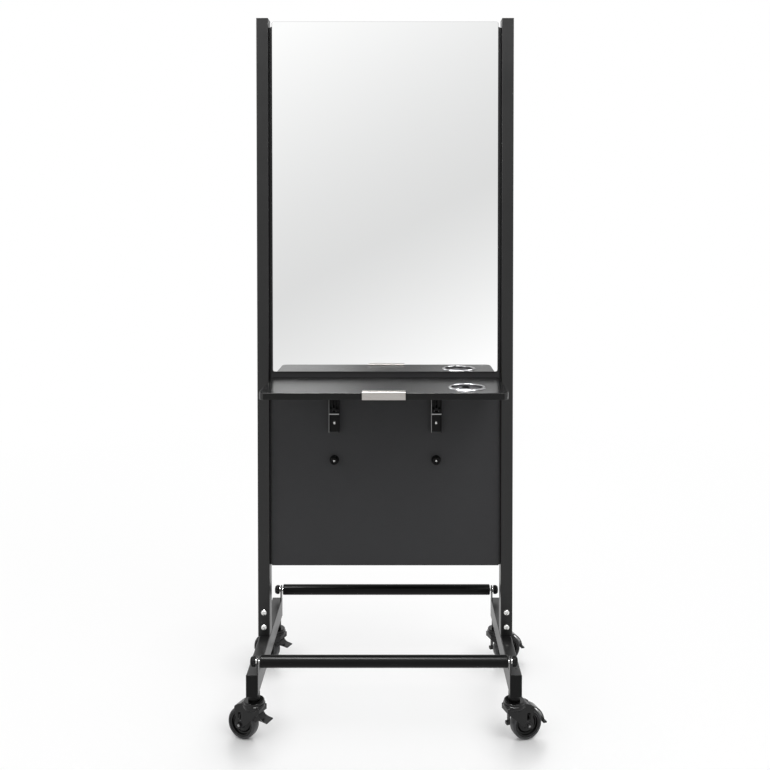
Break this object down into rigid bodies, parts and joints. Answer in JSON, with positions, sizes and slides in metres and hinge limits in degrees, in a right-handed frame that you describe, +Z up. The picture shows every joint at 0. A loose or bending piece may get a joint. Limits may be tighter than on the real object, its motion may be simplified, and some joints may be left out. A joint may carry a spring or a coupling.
{
  "type": "double sided salon station",
  "caption": "Wheeled double-sided salon styling station: back-to-back mirrors on a board between square posts, fold-down shelves with dryer rings, round foot rails, braked swivel casters.",
  "frame": {"origin": "on the floor under the middle of the frame", "axes": "+Z up, -Y towards the front shelf, +X to the right seen from the front"},
  "size_m": [0.7604, 0.47, 1.742],
  "materials": {
    "frame_coat": "fine satin black powder coat",
    "bracket_coat": "thin black enamel",
    "board_laminate": "black laminate over chipboard, fine matt grain",
    "mirror_glass": "silvered glass with ground edge",
    "tape_foam": "pale foam tape",
    "moulded_plastic": "moulded black plastic, light grain",
    "bright_zinc": "bright zinc plated steel",
    "pull_steel": "long grain brushed steel",
    "ring_chrome": "polished chrome plate",
    "bumper_rubber": "soft black rubber",
    "caster_nylon": "moulded black nylon",
    "tyre_grey": "dark grey thermoplastic rubber"
  },
  "bodies": {
    "frame": {"left_post": "frame_coat", "right_post": "frame_coat", "post_caps": "moulded_plastic", "left_leg": "frame_coat", "right_leg": "frame_coat", "leg_end_caps": "moulded_plastic", "post_bolts": "bright_zinc", "post_nuts": "bright_zinc", "backboard": "board_laminate", "board_screws": "bright_zinc", "front_mirror": "mirror_glass", "rear_mirror": "mirror_glass", "mirror_tape": "tape_foam", "front_foot_rail": "frame_coat", "rear_foot_rail": "frame_coat", "rail_plugs": "moulded_plastic", "rail_bolts": "bright_zinc", "rail_knobs": "moulded_plastic", "wall_brackets": "bracket_coat", "bracket_screws": "bright_zinc", "hinge_pins": "bright_zinc", "bumpers": "bumper_rubber", "bumper_screws": "bright_zinc", "caster_stems": "moulded_plastic"},
    "front_folding_shelf": {"front_shelf": "board_laminate", "front_shelf_pull": "pull_steel", "front_dryer_ring": "ring_chrome", "front_shelf_arms": "bracket_coat", "front_arm_screws": "bright_zinc"},
    "front_catch_pair": {"front_catches": "bright_zinc"},
    "front_brace_pair": {"front_braces": "bracket_coat", "front_brace_pins": "bright_zinc"},
    "rear_folding_shelf": {"rear_shelf": "board_laminate", "rear_shelf_pull": "pull_steel", "rear_dryer_ring": "ring_chrome", "rear_shelf_arms": "bracket_coat", "rear_arm_screws": "bright_zinc"},
    "rear_catch_pair": {"rear_catches": "bright_zinc"},
    "rear_brace_pair": {"rear_braces": "bracket_coat", "rear_brace_pins": "bright_zinc"},
    "front_left_caster": {"front_left_fork": "caster_nylon", "front_left_axle": "bright_zinc"},
    "front_left_roller": {"front_left_wheel": "caster_nylon", "front_left_tyre": "tyre_grey"},
    "front_left_pedal": {"front_left_brake": "caster_nylon"},
    "rear_left_caster": {"rear_left_fork": "caster_nylon", "rear_left_axle": "bright_zinc"},
    "rear_left_roller": {"rear_left_wheel": "caster_nylon", "rear_left_tyre": "tyre_grey"},
    "rear_left_pedal": {"rear_left_brake": "caster_nylon"},
    "front_right_caster": {"front_right_fork": "caster_nylon", "front_right_axle": "bright_zinc"},
    "front_right_roller": {"front_right_wheel": "caster_nylon", "front_right_tyre": "tyre_grey"},
    "front_right_pedal": {"front_right_brake": "caster_nylon"},
    "rear_right_caster": {"rear_right_fork": "caster_nylon", "rear_right_axle": "bright_zinc"},
    "rear_right_roller": {"rear_right_wheel": "caster_nylon", "rear_right_tyre": "tyre_grey"},
    "rear_right_pedal": {"rear_right_brake": "caster_nylon"}
  },
  "joints": [
    {"name": "front_shelf_fold", "type": "hinge", "parent": "frame", "child": "front_folding_shelf", "pos_m": [0, -0.0185, 0.8075], "axis": [1, 0, 0], "range_deg": [0, 90]},
    {"name": "front_catch_slide", "type": "slide", "parent": "frame", "child": "front_catch_pair", "axis": [0, 0, 1], "range_m": [-0.0401, 0]},
    {"name": "front_brace_turn", "type": "hinge", "parent": "front_catch_pair", "child": "front_brace_pair", "pos_m": [0, -0.0185, 0.7475], "axis": [1, 0, 0], "range_deg": [-28.1, 0]},
    {"name": "rear_shelf_fold", "type": "hinge", "parent": "frame", "child": "rear_folding_shelf", "pos_m": [0, 0.0185, 0.8075], "axis": [-1, 0, 0], "range_deg": [0, 90]},
    {"name": "rear_catch_slide", "type": "slide", "parent": "frame", "child": "rear_catch_pair", "axis": [0, 0, 1], "range_m": [-0.0401, 0]},
    {"name": "rear_brace_turn", "type": "hinge", "parent": "rear_catch_pair", "child": "rear_brace_pair", "pos_m": [0, 0.0185, 0.7475], "axis": [-1, 0, 0], "range_deg": [-28.1, 0]},
    {"name": "front_left_swivel", "type": "hinge", "parent": "frame", "child": "front_left_caster", "pos_m": [-0.308, -0.189, 0.09], "axis": [0, 0, 1], "continuous": true},
    {"name": "front_left_roll", "type": "hinge", "parent": "front_left_caster", "child": "front_left_roller", "pos_m": [-0.335, -0.17592, 0.0375], "axis": [-0.4359, -0.9, 0], "continuous": true},
    {"name": "front_left_brake_press", "type": "hinge", "parent": "front_left_caster", "child": "front_left_pedal", "pos_m": [-0.2954, -0.1951, 0.065], "axis": [0.4359, 0.9, 0], "range_deg": [0, 10]},
    {"name": "rear_left_swivel", "type": "hinge", "parent": "frame", "child": "rear_left_caster", "pos_m": [-0.308, 0.189, 0.09], "axis": [0, 0, 1], "continuous": true},
    {"name": "rear_left_roll", "type": "hinge", "parent": "rear_left_caster", "child": "rear_left_roller", "pos_m": [-0.335, 0.20208, 0.0375], "axis": [-0.4359, -0.9, 0], "continuous": true},
    {"name": "rear_left_brake_press", "type": "hinge", "parent": "rear_left_caster", "child": "rear_left_pedal", "pos_m": [-0.2954, 0.1829, 0.065], "axis": [0.4359, 0.9, 0], "range_deg": [0, 10]},
    {"name": "front_right_swivel", "type": "hinge", "parent": "frame", "child": "front_right_caster", "pos_m": [0.308, -0.189, 0.09], "axis": [0, 0, 1], "continuous": true},
    {"name": "front_right_roll", "type": "hinge", "parent": "front_right_caster", "child": "front_right_roller", "pos_m": [0.33625, -0.17891, 0.0375], "axis": [-0.3363, 0.9417, 0], "continuous": true},
    {"name": "front_right_brake_press", "type": "hinge", "parent": "front_right_caster", "child": "front_right_pedal", "pos_m": [0.3452, -0.17572, 0.0776], "axis": [-0.3363, 0.9417, 0], "range_deg": [0, 5]},
    {"name": "rear_right_swivel", "type": "hinge", "parent": "frame", "child": "rear_right_caster", "pos_m": [0.308, 0.189, 0.09], "axis": [0, 0, 1], "continuous": true},
    {"name": "rear_right_roll", "type": "hinge", "parent": "rear_right_caster", "child": "rear_right_roller", "pos_m": [0.33625, 0.19909, 0.0375], "axis": [-0.3363, 0.9417, 0], "continuous": true},
    {"name": "rear_right_brake_press", "type": "hinge", "parent": "rear_right_caster", "child": "rear_right_pedal", "pos_m": [0.3452, 0.20228, 0.0776], "axis": [-0.3363, 0.9417, 0], "range_deg": [0, 5]}
  ],
  "couplings": [
    {"joint": "front_catch_slide", "follows": "front_shelf_fold", "m_per_rad": -0.025465},
    {"joint": "front_brace_turn", "follows": "front_shelf_fold", "ratio": -0.31192},
    {"joint": "rear_catch_slide", "follows": "rear_shelf_fold", "m_per_rad": -0.025465},
    {"joint": "rear_brace_turn", "follows": "rear_shelf_fold", "ratio": -0.31192}
  ]
}
